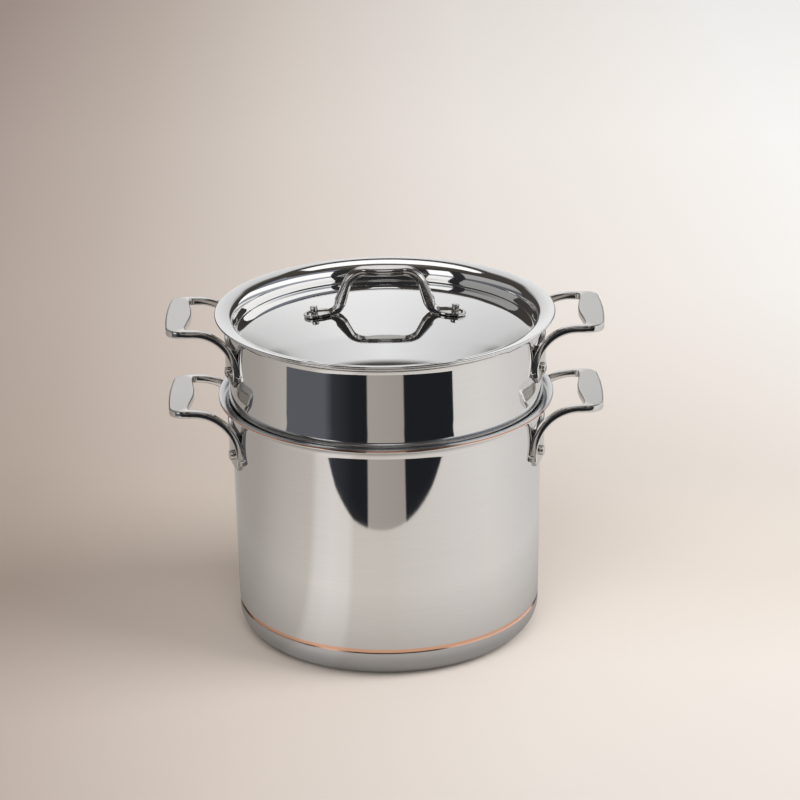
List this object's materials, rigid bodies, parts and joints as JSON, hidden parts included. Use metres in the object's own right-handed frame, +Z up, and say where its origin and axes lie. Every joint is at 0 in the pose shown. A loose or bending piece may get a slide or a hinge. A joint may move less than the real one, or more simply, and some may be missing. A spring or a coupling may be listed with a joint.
{
  "type": "stockpot with strainer insert",
  "caption": "Clad steel stockpot with a bared copper band, a lift-out perforated strainer insert that rests in its lip, riveted loop handles and a domed lid with a bar handle.",
  "frame": {"origin": "middle of the pot's base, on the table", "axes": "+Z up along the pot's axis, +X through the right-hand handles, the pictured side faces -Y"},
  "size_m": [0.3128, 0.2434, 0.272],
  "materials": {
    "polished_steel": "mirror polished stainless steel with faint turning lines",
    "satin_steel": "satin brushed stainless steel",
    "copper": "bare turned copper",
    "cast_handle": "cast stainless steel, polished",
    "rivet": "polished stainless steel"
  },
  "bodies": {
    "pot": {"pot_base_skin": "satin_steel", "pot_wall_skin": "polished_steel", "pot_copper_core": "copper", "pot_inner_liner": "satin_steel", "pot_handle_right": "cast_handle", "pot_handle_left": "cast_handle", "pot_rivet_right_front": "rivet", "pot_rivet_right_rear": "rivet", "pot_rivet_left_front": "rivet", "pot_rivet_left_rear": "rivet"},
    "insert": {"strainer_insert": "polished_steel", "insert_handle_right": "cast_handle", "insert_handle_left": "cast_handle", "insert_rivet_right_front": "rivet", "insert_rivet_right_rear": "rivet", "insert_rivet_left_front": "rivet", "insert_rivet_left_rear": "rivet"},
    "lid": {"lid": "polished_steel", "lid_handle": "cast_handle", "lid_rivet_right": "rivet", "lid_rivet_left": "rivet"}
  },
  "joints": [
    {"name": "insert_lift", "type": "slide", "parent": "pot", "child": "insert", "axis": [0, 0, 1], "range_m": [0, 0.17]},
    {"name": "lid_lift", "type": "slide", "parent": "insert", "child": "lid", "axis": [0, 0, 1], "range_m": [0, 0.12]}
  ]
}
